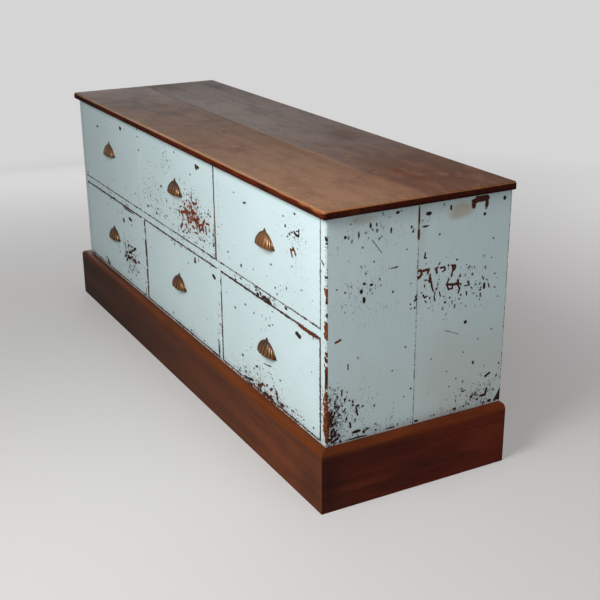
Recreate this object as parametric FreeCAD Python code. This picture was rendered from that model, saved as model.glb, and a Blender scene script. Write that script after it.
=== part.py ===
import FreeCAD, Part
import math
import os

from FreeCAD import Vector

# A low painted chest of six drawers on a mahogany plinth, with a mahogany top.
# All sizes are millimetres. X runs along the front, Y from front to back, Z up.
# The origin is on the floor, in the middle of the plinth's outline.

# Case: two painted end boards, two partitions, a rail between the rows
CASE_WIDTH = 1640.0
CASE_DEPTH = 485.0
CASE_HEIGHT = 530.0        # painted height, from the plinth's top to the top board
BOARD_THICK = 22.0         # ends and partitions
FRONT_BOARD_WIDTH = 233.0  # the front one of the two boards in each end and in the top
END_ARRIS = 4.0            # worn rounding of the ends' front outer edge
RAIL_BOTTOM = 407.5
RAIL_THICK = 21.0
RAIL_DEPTH = 60.0
TENON_LENGTH = 14.0
TENON_THICK = 9.0

# Bottom board, let into the ends; its front edge shows just above the plinth
BOTTOM_THICK = 18.0
BOTTOM_PROUD = 4.0
HOUSING_DEPTH = 8.0
HOUSING_STOP = 14.0

# Back, of upright matched boards in a rebate
BACK_THICK = 12.0
BACK_REBATE = 10.0
BACK_BOARD_COUNT = 12
BACK_BOARD_GAP = 0.5
BACK_BOARD_CHAMFER = 2.0
BACK_BOARD_FOOT = 30.0

# Top: two boards jointed along their length
TOP_THICK = 19.0
TOP_OVERHANG = 13.5
TOP_CORNER = 7.0
TOP_UPPER_ROUND = 6.0
TOP_LOWER_ROUND = 4.0
TOP_JOINT_GAP = 0.3

# Plinth: moulded boards planted round the case, mitred at the front corners
PLINTH_HEIGHT = 152.0
PLINTH_THICK = 25.0
PLINTH_ROUND = 13.0

# Drawers: two rows of three, the left column a little narrower than the others
COLUMN_WIDTHS = {"left": 510.0, "middle": 521.0, "right": 521.0}
DRAWER_GAP = 1.5           # all round each front
DRAWER_LENGTH = 455.0
FRONT_THICK = 20.0
SIDE_THICK = 12.0
SIDE_HEIGHT = 226.0
SIDE_CLEARANCE = 0.5       # under the sides, above the rail or the bottom board
PANEL_THICK = 6.0
PANEL_HEIGHT = 10.0        # underside of the drawer's bottom above the opening's foot
PANEL_GROOVE = 5.0
BACK_INSET = 2.0
BACK_HOUSING = 4.0
TAIL_COUNT = 4
TAIL_LENGTH = 14.0
TAIL_ROOT = 30.0
TAIL_FLARE = 4.0           # how much wider a tail is at its end, on each side

# Runners, kickers and stops inside the case
RUNNER_WIDTH = 30.0
BATTEN_WIDTH = 25.0
BATTEN_THICK = 20.0
BATTEN_SETBACK = 25.0
STOP_WIDTH = 40.0
STOP_DEPTH = 24.0
STOP_THICK = 7.0
STOP_GAP = 0.3
STOP_OFFSET = 150.0

# Screws that hold the top, driven up through the battens
SCREW_RADIUS = 2.1
SCREW_HEAD_RADIUS = 4.2
SCREW_HEAD_HEIGHT = 3.0
SCREW_LENGTH = 32.0
SCREW_OFFSET = 150.0

# Fluted shell pulls, one in the middle of each drawer
PULL_LIP_HEIGHT = 117.3    # lip above the opening's foot
PULL_HALF_WIDTH = 44.0
PULL_DEPTH = 17.0
PULL_SHELL_HEIGHT = 35.5
PULL_TIP_HEIGHT = 43.0
PULL_TAB_REACH = 49.5
PULL_WALL = 1.6
PULL_TAB_THICK = 1.6
PULL_TAB_ROOT = 2.0        # how far a tab runs into the shell's wall
PULL_TIP_HALF = 6.5
PULL_CORNER_HEIGHT = 10.5
FLUTES = 9
FLUTE_RISE = 0.9
PIN_RADIUS = 0.9
PIN_HEAD_RADIUS = 1.7
PIN_HEAD_HEIGHT = 0.7
PIN_LENGTH = 14.0

# Places that follow from the sizes above
FRONT_Y = PLINTH_THICK - (CASE_DEPTH + PLINTH_THICK) / 2
BACK_Y = FRONT_Y + CASE_DEPTH
INNER_BACK_Y = BACK_Y - BACK_THICK
CASE_TOP = PLINTH_HEIGHT + CASE_HEIGHT
INNER_HALF = CASE_WIDTH / 2 - BOARD_THICK
FLOOR_Z = PLINTH_HEIGHT + BOTTOM_PROUD
RAIL_TOP = RAIL_BOTTOM + RAIL_THICK
JOINT_Y = FRONT_Y + FRONT_BOARD_WIDTH


def bays():
    """Left and right edge of each column's opening, from left to right."""
    places = {}
    left = -INNER_HALF
    for side, width in COLUMN_WIDTHS.items():
        places[side] = (left, left + width)
        left += width + BOARD_THICK
    return places


def block(x0, x1, y0, y1, z0, z1):
    """A rectangular board between two opposite corners."""
    return Part.makeBox(x1 - x0, y1 - y0, z1 - z0, Vector(x0, y0, z0))


def prism(points, along):
    """A closed outline of points carried along a vector."""
    outline = Part.makePolygon(points + [points[0]])
    return Part.Face(outline).extrude(along)


def mirrored(shape):
    """The same piece on the other end of the chest."""
    return shape.mirror(Vector(0, 0, 0), Vector(1, 0, 0))


def save(shape, name):
    """Write one node, after a check that its solids are sound."""
    if not shape.isValid():
        raise ValueError(name + " is not a valid shape")
    shape.exportStep("parts/" + name + ".step")
    print(name, len(shape.Solids), "solid(s)", round(shape.Volume / 1000.0, 1), "cm3")


def group(shapes):
    """Like pieces that share one node."""
    return Part.makeCompound(shapes)


def cut_all(shape, tools):
    """Take several fitted pieces out of one board."""
    for tool in tools:
        shape = shape.cut(tool)
    return shape


def make_mid_rail():
    """The rail between the two rows, tenoned into the ends."""
    rail = block(-INNER_HALF, INNER_HALF, FRONT_Y, FRONT_Y + RAIL_DEPTH,
                 RAIL_BOTTOM, RAIL_TOP)
    middle = (RAIL_BOTTOM + RAIL_TOP) / 2
    reach = INNER_HALF + TENON_LENGTH
    tenons = block(-reach, reach, FRONT_Y + HOUSING_STOP, FRONT_Y + RAIL_DEPTH - HOUSING_STOP,
                   middle - TENON_THICK / 2, middle + TENON_THICK / 2)
    return rail.fuse(tenons).removeSplitter()


def make_bottom_board():
    """The board under the lower drawers, in stopped housings in the ends."""
    board = block(-INNER_HALF, INNER_HALF, FRONT_Y, INNER_BACK_Y,
                  FLOOR_Z - BOTTOM_THICK, FLOOR_Z)
    reach = INNER_HALF + HOUSING_DEPTH
    tongues = block(-reach, reach, FRONT_Y + HOUSING_STOP, INNER_BACK_Y - HOUSING_STOP,
                    FLOOR_Z - BOTTOM_THICK, FLOOR_Z)
    return board.fuse(tongues).removeSplitter()


def make_back_boards():
    """Upright boards, chamfered where they meet on the outside."""
    span = 2 * (INNER_HALF + BACK_REBATE)
    pitch = span / BACK_BOARD_COUNT
    boards = []
    for index in range(BACK_BOARD_COUNT):
        x0 = -span / 2 + index * pitch + BACK_BOARD_GAP / 2
        x1 = x0 + pitch - BACK_BOARD_GAP
        outline = [Vector(x0, INNER_BACK_Y, BACK_BOARD_FOOT),
                   Vector(x1, INNER_BACK_Y, BACK_BOARD_FOOT),
                   Vector(x1, BACK_Y - BACK_BOARD_CHAMFER, BACK_BOARD_FOOT),
                   Vector(x1 - BACK_BOARD_CHAMFER, BACK_Y, BACK_BOARD_FOOT),
                   Vector(x0 + BACK_BOARD_CHAMFER, BACK_Y, BACK_BOARD_FOOT),
                   Vector(x0, BACK_Y - BACK_BOARD_CHAMFER, BACK_BOARD_FOOT)]
        boards.append(prism(outline, Vector(0, 0, CASE_TOP - BACK_BOARD_FOOT)))
    return group(boards)


def make_end_boards(fitted):
    """The two boards of the right-hand end, cut to take the fitted pieces."""
    outer = CASE_WIDTH / 2
    front = block(INNER_HALF, outer, FRONT_Y, JOINT_Y, 0, CASE_TOP)
    corner = [edge for edge in front.Edges
              if edge.BoundBox.XMin > outer - 0.1 and edge.BoundBox.YMax < FRONT_Y + 0.1
              and edge.BoundBox.ZLength > CASE_HEIGHT]
    front = front.makeFillet(END_ARRIS, corner)
    back = block(INNER_HALF, outer, JOINT_Y, BACK_Y, 0, CASE_TOP)
    rebate = block(INNER_HALF, INNER_HALF + BACK_REBATE, INNER_BACK_Y, BACK_Y,
                   BACK_BOARD_FOOT, CASE_TOP)
    back = back.cut(rebate)
    return cut_all(front, fitted), cut_all(back, fitted)


def make_partition(side, rail):
    """The upright board to the right of one column, notched round the rail."""
    face = bays()[side][1]
    board = block(face, face + BOARD_THICK, FRONT_Y, INNER_BACK_Y, FLOOR_Z, CASE_TOP)
    return board.cut(rail)


def strips(width, y0, y1, z0, z1):
    """One strip along each upright's face, front to back."""
    pieces = []
    for left, right in bays().values():
        pieces.append(block(left, left + width, y0, y1, z0, z1))
        pieces.append(block(right - width, right, y0, y1, z0, z1))
    return pieces


def make_stops():
    """Small blocks that each drawer front closes against."""
    stops = []
    front_back = FRONT_Y + FRONT_THICK + STOP_GAP
    for foot in (FLOOR_Z, RAIL_TOP):
        for left, right in bays().values():
            for offset in (-STOP_OFFSET, STOP_OFFSET):
                middle = (left + right) / 2 + offset
                stops.append(block(middle - STOP_WIDTH / 2, middle + STOP_WIDTH / 2,
                                   front_back, front_back + STOP_DEPTH,
                                   foot, foot + STOP_THICK))
    return group(stops)


def make_screw(base, along):
    """A countersunk screw with its head's face at the base point."""
    profile = [Vector(0, 0, 0), Vector(SCREW_HEAD_RADIUS, 0, 0),
               Vector(SCREW_RADIUS, 0, SCREW_HEAD_HEIGHT),
               Vector(SCREW_RADIUS, 0, SCREW_LENGTH - 2 * SCREW_RADIUS),
               Vector(0, 0, SCREW_LENGTH), Vector(0, 0, 0)]
    screw = Part.Face(Part.makePolygon(profile)).revolve(Vector(0, 0, 0), Vector(0, 0, 1), 360)
    screw.Placement = FreeCAD.Placement(base, FreeCAD.Rotation(Vector(0, 0, 1), along))
    return screw


def make_screws():
    """Two screws up through each batten into the top."""
    screws = []
    middle_y = (FRONT_Y + INNER_BACK_Y) / 2
    for left, right in bays().values():
        for x in (left + BATTEN_WIDTH / 2, right - BATTEN_WIDTH / 2):
            for offset in (-SCREW_OFFSET, SCREW_OFFSET):
                base = Vector(x, middle_y + offset, CASE_TOP - BATTEN_THICK)
                screws.append(make_screw(base, Vector(0, 0, 1)))
    return screws


def make_top_boards(screws):
    """One moulded slab, parted along the joint into its two boards."""
    half = CASE_WIDTH / 2 + TOP_OVERHANG
    front = FRONT_Y - TOP_OVERHANG
    top = CASE_TOP + TOP_THICK
    slab = block(-half, half, front, BACK_Y, CASE_TOP, top)
    corners = [edge for edge in slab.Edges
               if edge.BoundBox.YMax < front + 0.1 and edge.BoundBox.ZLength > TOP_THICK / 2]
    slab = slab.makeFillet(TOP_CORNER, corners)

    def rim(level):
        return [edge for edge in slab.Edges
                if abs(edge.BoundBox.ZMin - level) < 0.1 and abs(edge.BoundBox.ZMax - level) < 0.1
                and edge.BoundBox.YMin < BACK_Y - 0.1]

    slab = slab.makeFillet(TOP_UPPER_ROUND, rim(top))
    slab = slab.makeFillet(TOP_LOWER_ROUND, rim(CASE_TOP))
    slab = cut_all(slab, screws)
    front_part = block(-half, half, front, JOINT_Y - TOP_JOINT_GAP / 2, CASE_TOP, top)
    back_part = block(-half, half, JOINT_Y + TOP_JOINT_GAP / 2, BACK_Y, CASE_TOP, top)
    return slab.common(front_part), slab.common(back_part)


def plinth_profile(corner, outward, length):
    """A plinth board with a quarter-round along its top outer edge."""
    up = Vector(0, 0, 1)
    outer = corner + outward * PLINTH_THICK
    inner_top = corner + up * PLINTH_HEIGHT
    round_start = inner_top + outward * (PLINTH_THICK - PLINTH_ROUND)
    round_end = outer + up * (PLINTH_HEIGHT - PLINTH_ROUND)
    centre = round_start - up * PLINTH_ROUND
    bulge = centre + (outward + up) * (PLINTH_ROUND / math.sqrt(2))
    wire = Part.Wire([Part.makeLine(corner, inner_top),
                      Part.makeLine(inner_top, round_start),
                      Part.Arc(round_start, bulge, round_end).toShape(),
                      Part.makeLine(round_end, outer),
                      Part.makeLine(outer, corner)])
    return Part.Face(wire).extrude(length)


def make_plinth():
    """Front board and the two end boards, mitred together."""
    half = CASE_WIDTH / 2
    reach = half + PLINTH_THICK
    outer_y = FRONT_Y - PLINTH_THICK
    up = Vector(0, 0, PLINTH_HEIGHT)
    front = plinth_profile(Vector(-reach, FRONT_Y, 0), Vector(0, -1, 0), Vector(2 * reach, 0, 0))
    front = front.common(prism([Vector(-half, FRONT_Y, 0), Vector(half, FRONT_Y, 0),
                                Vector(reach, outer_y, 0), Vector(-reach, outer_y, 0)], up))
    right = plinth_profile(Vector(half, outer_y, 0), Vector(1, 0, 0),
                           Vector(0, BACK_Y - outer_y, 0))
    right = right.common(prism([Vector(half, FRONT_Y, 0), Vector(reach, outer_y, 0),
                                Vector(reach, BACK_Y, 0), Vector(half, BACK_Y, 0)], up))
    return front, right


def make_drawer_sides(half_front, foot):
    """Both sides, with dovetails that lap into the front."""
    low = foot + SIDE_CLEARANCE
    high = low + SIDE_HEIGHT
    joint = FRONT_Y + FRONT_THICK
    inner = half_front - SIDE_THICK
    side = block(inner, half_front, joint, FRONT_Y + DRAWER_LENGTH, low, high)
    pitch = SIDE_HEIGHT / TAIL_COUNT
    for index in range(TAIL_COUNT):
        middle = low + (index + 0.5) * pitch
        root = TAIL_ROOT / 2
        wide = root + TAIL_FLARE
        tail = prism([Vector(inner, joint, middle - root),
                      Vector(inner, joint, middle + root),
                      Vector(inner, joint - TAIL_LENGTH, middle + wide),
                      Vector(inner, joint - TAIL_LENGTH, middle - wide)],
                     Vector(SIDE_THICK, 0, 0))
        side = side.fuse(tail)
    side = side.removeSplitter()
    return mirrored(side), side


def make_drawer(half_front, foot, ceiling):
    """The five boards of one drawer, centred on X = 0."""
    left, right = make_drawer_sides(half_front, foot)
    inner = half_front - SIDE_THICK
    joint = FRONT_Y + FRONT_THICK
    rear = FRONT_Y + DRAWER_LENGTH
    panel_foot = foot + PANEL_HEIGHT
    panel_top = panel_foot + PANEL_THICK
    panel = block(-inner - PANEL_GROOVE, inner + PANEL_GROOVE,
                  joint - PANEL_GROOVE, rear, panel_foot, panel_top)
    back = block(-inner - BACK_HOUSING, inner + BACK_HOUSING,
                 rear - BACK_INSET - SIDE_THICK, rear - BACK_INSET,
                 panel_top, foot + SIDE_CLEARANCE + SIDE_HEIGHT)
    front = block(-half_front, half_front, FRONT_Y, joint,
                  foot + DRAWER_GAP, ceiling - DRAWER_GAP)
    front = cut_all(front, [left, right, panel])
    left = cut_all(left, [panel, back])
    right = cut_all(right, [panel, back])
    return {"front": front, "left_side": left, "right_side": right,
            "back": back, "bottom": panel}


def pull_section(tilt, wall, rise):
    """One level outline of the shell, from below the lip (0) to near its crown."""
    half_width = (PULL_HALF_WIDTH - wall) * math.cos(tilt)
    depth = (PULL_DEPTH - wall) * math.cos(tilt)
    height = (PULL_SHELL_HEIGHT - wall) * math.sin(tilt)
    steps = FLUTES * 4
    points = []
    for step in range(steps + 1):
        turn = math.pi * step / steps
        normal = Vector(math.cos(turn) / half_width, -math.sin(turn) / depth, 0)
        normal.normalize()
        flute = rise * math.cos(tilt) * math.cos(2 * FLUTES * (turn - math.pi / 2))
        point = Vector(half_width * math.cos(turn), -depth * math.sin(turn), height)
        points.append(point + normal * flute)
    points[0].y = 0
    points[-1].y = 0
    curve = Part.BSplineCurve()
    curve.interpolate(points)
    behind = Vector(0, wall, 0)
    corners = [points[-1], points[-1] + behind, points[0] + behind, points[0]]
    if wall == 0:
        corners = [points[-1], points[0]]
    return Part.Wire([curve.toShape()] + Part.makePolygon(corners).Edges)


def make_pull():
    """A fluted half shell with three pointed tabs; its back is the plane Y = 0."""
    levels = [math.radians(angle) for angle in (14, 28, 42, 56, 68, 78)]
    outside = Part.makeLoft([pull_section(tilt, 0, FLUTE_RISE) for tilt in [0] + levels],
                            True, False)
    below_lip = math.radians(-6)
    inside = Part.makeLoft([pull_section(tilt, PULL_WALL, 0) for tilt in [below_lip] + levels],
                           True, False)
    crown = PULL_SHELL_HEIGHT * math.sin(levels[-1])
    tip = [Vector(-PULL_TIP_HALF, 0, crown - PULL_TAB_ROOT),
           Vector(PULL_TIP_HALF, 0, crown - PULL_TAB_ROOT),
           Vector(PULL_TIP_HALF * 0.4, 0, PULL_TIP_HEIGHT - 3.0),
           Vector(0, 0, PULL_TIP_HEIGHT),
           Vector(-PULL_TIP_HALF * 0.4, 0, PULL_TIP_HEIGHT - 3.0)]
    corner_root = PULL_HALF_WIDTH - 4 * PULL_TAB_ROOT
    corner = [Vector(corner_root, 0, 0),
              Vector(PULL_TAB_REACH - 1.0, 0, 0),
              Vector(PULL_TAB_REACH, 0, 2.0),
              Vector(PULL_HALF_WIDTH - 1.2, 0, PULL_CORNER_HEIGHT),
              Vector(corner_root, 0, PULL_CORNER_HEIGHT)]
    forward = Vector(0, -PULL_TAB_THICK, 0)
    corner_tab = prism(corner, forward)
    tabs = [prism(tip, forward), corner_tab, mirrored(corner_tab)]
    return outside.fuse(tabs).cut(inside)


def pin_places():
    """Where the pull is pinned: through its tip and its two lower corners."""
    corner_x = PULL_TAB_REACH - 3.2
    return [Vector(0, 0, PULL_TIP_HEIGHT - 5.0), Vector(corner_x, 0, 2.6),
            Vector(-corner_x, 0, 2.6)]


def make_pins():
    """Round-headed pins, driven from the front."""
    pins = []
    for place in pin_places():
        head_back = place + Vector(0, -PULL_TAB_THICK, 0)
        head = Part.makeCone(PIN_HEAD_RADIUS, PIN_HEAD_RADIUS * 0.6, PIN_HEAD_HEIGHT,
                             head_back, Vector(0, -1, 0))
        shank = Part.makeCylinder(PIN_RADIUS, PIN_LENGTH, head_back, Vector(0, 1, 0))
        pins.append(head.fuse(shank).removeSplitter())
    return pins


def main():
    os.makedirs("parts", exist_ok=True)

    rail = make_mid_rail()
    bottom = make_bottom_board()
    end_front, end_back = make_end_boards([rail, bottom])
    save(end_front, "right_end_front_board")
    save(end_back, "right_end_back_board")
    save(mirrored(end_front), "left_end_front_board")
    save(mirrored(end_back), "left_end_back_board")
    save(rail, "middle_rail")
    save(bottom, "bottom_board")
    save(make_partition("left", rail), "left_partition")
    save(make_partition("middle", rail), "right_partition")
    save(make_back_boards(), "back_boards")

    runners = strips(RUNNER_WIDTH, FRONT_Y + RAIL_DEPTH, INNER_BACK_Y, RAIL_BOTTOM, RAIL_TOP)
    save(group(runners), "upper_drawer_runners")
    save(make_stops(), "drawer_stops")

    screws = make_screws()
    battens = strips(BATTEN_WIDTH, FRONT_Y + BATTEN_SETBACK, INNER_BACK_Y,
                     CASE_TOP - BATTEN_THICK, CASE_TOP)
    save(group([cut_all(batten, screws) for batten in battens]), "top_battens")
    save(group(screws), "top_screws")
    top_front, top_back = make_top_boards(screws)
    save(top_front, "top_front_board")
    save(top_back, "top_back_board")

    plinth_front, plinth_right = make_plinth()
    save(plinth_front, "plinth_front")
    save(plinth_right, "plinth_right")
    save(mirrored(plinth_right), "plinth_left")

    pins = make_pins()
    pull = cut_all(make_pull(), pins)
    for row, foot, ceiling in (("lower", FLOOR_Z, RAIL_BOTTOM), ("upper", RAIL_TOP, CASE_TOP)):
        for side, (bay_left, bay_right) in bays().items():
            boards = make_drawer((bay_right - bay_left) / 2 - DRAWER_GAP, foot, ceiling)
            name = row + "_" + side
            pieces = {name + "_drawer_" + board: shape for board, shape in boards.items()}
            lip_middle = Vector(0, FRONT_Y, foot + PULL_LIP_HEIGHT)
            placed_pins = group(pins).copy()
            placed_pins.translate(lip_middle)
            placed_pull = pull.copy()
            placed_pull.translate(lip_middle)
            pieces[name + "_pull"] = placed_pull
            pieces[name + "_pull_pins"] = placed_pins
            pieces[name + "_drawer_front"] = boards["front"].cut(placed_pins)
            for node, shape in pieces.items():
                shape.translate(Vector((bay_left + bay_right) / 2, 0, 0))
                save(shape, node)


main()
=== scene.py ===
import math

import bmesh
import bpy
import numpy
from mathutils import Matrix, Vector


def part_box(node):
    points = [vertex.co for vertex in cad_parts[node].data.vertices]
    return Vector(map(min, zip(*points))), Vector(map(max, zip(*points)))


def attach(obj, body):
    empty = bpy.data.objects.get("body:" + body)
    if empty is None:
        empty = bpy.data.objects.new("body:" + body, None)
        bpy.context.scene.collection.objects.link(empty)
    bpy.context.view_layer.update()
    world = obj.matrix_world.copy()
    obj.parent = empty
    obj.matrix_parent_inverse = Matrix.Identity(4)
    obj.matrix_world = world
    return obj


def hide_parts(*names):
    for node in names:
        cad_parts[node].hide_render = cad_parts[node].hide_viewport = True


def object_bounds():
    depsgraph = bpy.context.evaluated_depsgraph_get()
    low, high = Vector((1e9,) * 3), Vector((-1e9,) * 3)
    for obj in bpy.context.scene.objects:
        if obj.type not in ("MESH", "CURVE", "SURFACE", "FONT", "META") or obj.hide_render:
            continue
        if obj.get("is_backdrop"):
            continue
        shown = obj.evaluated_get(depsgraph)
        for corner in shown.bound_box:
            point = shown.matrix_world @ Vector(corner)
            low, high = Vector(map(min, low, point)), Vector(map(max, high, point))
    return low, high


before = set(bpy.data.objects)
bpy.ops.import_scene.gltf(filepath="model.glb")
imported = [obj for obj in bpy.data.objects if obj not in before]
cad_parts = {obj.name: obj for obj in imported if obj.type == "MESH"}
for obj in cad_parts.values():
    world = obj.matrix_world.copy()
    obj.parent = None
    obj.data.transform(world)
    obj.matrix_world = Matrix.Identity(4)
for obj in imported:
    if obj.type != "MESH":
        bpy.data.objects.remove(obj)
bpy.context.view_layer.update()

# The two ends
# Each end of the chest is two upright boards, glued edge to edge, of dark red-brown wood under old
# pale blue paint. The front arris of the right-hand end is bare in patches, most of all at its foot.

mm = 0.001
left, right, front, back, down, up = (
    Vector((-1, 0, 0)), Vector((1, 0, 0)), Vector((0, -1, 0)),
    Vector((0, 1, 0)), Vector((0, 0, -1)), Vector((0, 0, 1)))
chip_cell = 2 * mm
soft_arris = 0.8 * mm
knocked_arris = 4 * mm

# In mm: how far behind a face its wear may reach, and how softly worn paint along an arris ends
face_depth = 5
arris_fade = 9


def linear(hex_colour):
    """The colour that a shader takes for an sRGB hex colour."""
    parts = [int(hex_colour[place:place + 2], 16) / 255 for place in (1, 3, 5)]
    return tuple(c / 12.92 if c <= 0.04045 else ((c + 0.055) / 1.055) ** 2.4 for c in parts) + (1,)


def add(tree, kind, inputs=None, **settings):
    """One shader node, with its settings and what goes into its sockets."""
    node = tree.nodes.new("ShaderNode" + kind)
    for setting, value in settings.items():
        setattr(node, setting, value)
    for socket, value in (inputs or {}).items():
        if isinstance(value, bpy.types.NodeSocket):
            tree.links.new(value, node.inputs[socket])
        else:
            node.inputs[socket].default_value = value
    return node


def new_material(name):
    """An empty material; returns it with its node tree, its shader and the object coordinates."""
    material = bpy.data.materials.new(name)
    material.use_nodes = True
    tree = material.node_tree
    coordinates = add(tree, "TexCoord").outputs["Object"]
    return material, tree, tree.nodes["Principled BSDF"], coordinates


def old_paint(name, stroke):
    """Oil paint brushed along one direction, gone satin and chipped through to the wood."""
    material, tree, shader, coordinates = new_material(name)
    along = add(tree, "Mapping", {"Vector": coordinates, "Scale": stroke}).outputs[0]
    strokes, clouds, patches, flakes, shreds = [
        add(tree, "TexNoise", {"Vector": where, "Scale": 1 / size, "Detail": detail})
        for where, size, detail in ((along, 3 * mm, 3.0), (coordinates, 160 * mm, 2.0),
                                    (coordinates, 34 * mm, 2.0), (coordinates, 4 * mm, 3.0),
                                    (coordinates, 2.5 * mm, 3.0))]
    strokes, clouds, patches, flakes = [node.outputs[0] for node in (strokes, clouds, patches, flakes)]
    worn, spatter, smear, fresh = [
        add(tree, "Attribute", attribute_name=mark).outputs["Fac"]
        for mark in ("worn", "spatter", "smear", "fresh")]

    # Where the wear, roughened by the flakes and patches, passes a half, the wood is bare
    rough = add(tree, "Math", {0: flakes, 1: 0.8, 2: worn}, operation="MULTIPLY_ADD").outputs[0]
    rough = add(tree, "Math", {0: patches, 1: 0.4, 2: rough}, operation="MULTIPLY_ADD").outputs[0]
    bare = add(tree, "MapRange", {"Value": rough, "From Min": 1.055, "From Max": 1.085}).outputs[0]

    # Spatter is small separate flecks: each cell of two fine patterns holds one or none
    likely = add(tree, "Math", {0: patches, 1: 0.8, 2: -0.33}, operation="MULTIPLY_ADD").outputs[0]
    likely = add(tree, "Math", {0: likely, 1: 0.0}, operation="MAXIMUM").outputs[0]
    likely = add(tree, "Math", {0: spatter, 1: 1.45, 2: likely}, operation="MULTIPLY_ADD").outputs[0]
    longish = add(tree, "Mapping", {"Vector": coordinates,
                                    "Scale": [max(part, 0.6) for part in stroke]}).outputs[0]
    ragged = add(tree, "VectorMath", {0: shreds.outputs["Color"], 1: (9 * mm,) * 3, 2: longish},
                 operation="MULTIPLY_ADD").outputs[0]
    for cell in (7 * mm, 3.5 * mm):
        cells = add(tree, "TexVoronoi", {"Vector": ragged, "Scale": 1 / cell})
        chance = add(tree, "SeparateColor", {0: cells.outputs["Color"]}).outputs[0]
        size = add(tree, "Math", {0: likely, 1: chance}, operation="SUBTRACT").outputs[0]
        size = add(tree, "MapRange", {"Value": size, "From Max": 0.55, "To Max": 0.6}).outputs[0]
        chip = add(tree, "Math", {0: size, 1: cells.outputs["Distance"]}, operation="SUBTRACT").outputs[0]
        chip = add(tree, "MapRange", {"Value": chip, "From Max": 0.05}).outputs[0]
        bare = add(tree, "Math", {0: bare, 1: chip}, operation="MAXIMUM").outputs[0]

    # Dirt lies in the strokes and round the worn places; here and there the paint is smeared
    tint = add(tree, "Mix", {0: clouds, 6: linear("#CADEE0"), 7: linear("#D6E8E9")},
               data_type="RGBA").outputs[2]
    streaky, dirt = [
        add(tree, "MapRange", {"Value": pattern, "From Min": start, "From Max": full,
                               "To Max": most}).outputs[0]
        for pattern, start, full, most in ((strokes, 0.35, 0.75, 0.14), (rough, 0.75, 1.15, 0.4))]
    smear = add(tree, "Math", {0: smear, 1: clouds}, operation="MULTIPLY").outputs[0]
    for share, tone in ((streaky, "#AEBCBD"), (dirt, "#A39F98"), (smear, "#B5A58B")):
        tint = add(tree, "Mix", {0: share, 6: tint, 7: linear(tone)}, data_type="RGBA").outputs[2]

    # The wood in the chips is nearly black, and orange where they are fresh
    depth = add(tree, "MapRange", {"Value": flakes, "From Min": 0.35, "From Max": 0.65}).outputs[0]
    wood = add(tree, "Mix", {0: depth, 6: linear("#0E0403"), 7: linear("#38130B")},
               data_type="RGBA").outputs[2]
    fresh = add(tree, "Math", {0: depth, 1: fresh}, operation="MULTIPLY").outputs[0]
    wood = add(tree, "Mix", {0: fresh, 6: wood, 7: linear("#9C4A18")}, data_type="RGBA").outputs[2]
    colour = add(tree, "Mix", {0: bare, 6: tint, 7: wood}, data_type="RGBA").outputs[2]
    tree.links.new(colour, shader.inputs["Base Color"])

    # Paint is satin and stands a little proud of the dull wood
    gloss = add(tree, "MapRange", {"Value": bare, "To Min": 0.45, "To Max": 0.9}).outputs[0]
    tree.links.new(gloss, shader.inputs["Roughness"])
    shader.inputs["IOR"].default_value = 1.48
    shader.inputs["Specular IOR Level"].default_value = 0.35
    film = add(tree, "Math", {0: bare, 1: -1.0, 2: 1.0}, operation="MULTIPLY_ADD").outputs[0]
    relief = add(tree, "Math", {0: strokes, 1: 0.2, 2: film}, operation="MULTIPLY_ADD").outputs[0]
    bump = add(tree, "Bump", {"Height": relief, "Strength": 0.5, "Distance": 0.3 * mm}).outputs[0]
    tree.links.new(bump, shader.inputs["Normal"])
    return material


def bare_wood(name, grain, pale, dark):
    """Planed wood with its grain along one direction and fine pores in it."""
    material, tree, shader, coordinates = new_material(name)
    along = add(tree, "Mapping", {"Vector": coordinates, "Scale": grain}).outputs[0]
    pores, bands, stains = [
        add(tree, "TexNoise", {"Vector": where, "Scale": 1 / size, "Detail": detail,
                               "Distortion": bend}).outputs[0]
        for where, size, detail, bend in ((along, 1.6 * mm, 3.0, 0.0), (along, 14 * mm, 2.0, 0.6),
                                          (coordinates, 120 * mm, 3.0, 0.0))]
    figure = add(tree, "Math", {0: pores, 1: 0.5, 2: bands}, operation="MULTIPLY_ADD").outputs[0]
    figure = add(tree, "MapRange", {"Value": figure, "From Min": 0.55, "From Max": 0.95}).outputs[0]
    stained = add(tree, "MapRange", {"Value": stains, "From Min": 0.45, "From Max": 0.75,
                                     "To Max": 0.6}).outputs[0]
    colour = linear(pale)
    for share in (figure, stained):
        colour = add(tree, "Mix", {0: share, 6: colour, 7: linear(dark)}, data_type="RGBA").outputs[2]
    tree.links.new(colour, shader.inputs["Base Color"])
    shader.inputs["Roughness"].default_value = 0.65
    bump = add(tree, "Bump", {"Height": figure, "Strength": 0.35, "Distance": 0.2 * mm}).outputs[0]
    tree.links.new(bump, shader.inputs["Normal"])
    return material


def block(low, high):
    """A square-edged board between two corners."""
    mesh = bmesh.new()
    bmesh.ops.create_cube(mesh, size=1.0)
    bmesh.ops.scale(mesh, vec=high - low, verts=mesh.verts)
    bmesh.ops.translate(mesh, vec=(low + high) / 2, verts=mesh.verts)
    mesh.normal_update()
    return mesh


def arris_between(mesh, one_way, other_way):
    """The edge of a block where the faces that look these two ways meet."""
    return [edge for edge in mesh.edges
            if max(face.normal.dot(one_way) for face in edge.link_faces) > 0.9
            and max(face.normal.dot(other_way) for face in edge.link_faces) > 0.9]


def divide(mesh, shown, cell):
    """Divides the faces that look one of the shown ways into a grid of cells."""
    for axis in (right, back, up):
        mesh.normal_update()
        faces = [face for face in mesh.faces if max(face.normal.dot(way) for way in shown) > 0.1]
        edges = {}
        for edge in dict.fromkeys(edge for face in faces for edge in face.edges):
            run = edge.verts[1].co - edge.verts[0].co
            parallel = abs(run.dot(axis)) > 0.999 * run.length
            if parallel and run.length > 1.5 * cell:
                edges.setdefault(round(run.length / cell), []).append(edge)
        for cuts, alike in edges.items():
            bmesh.ops.subdivide_edges(mesh, edges=alike, cuts=cuts - 1, use_grid_fill=True)


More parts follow.
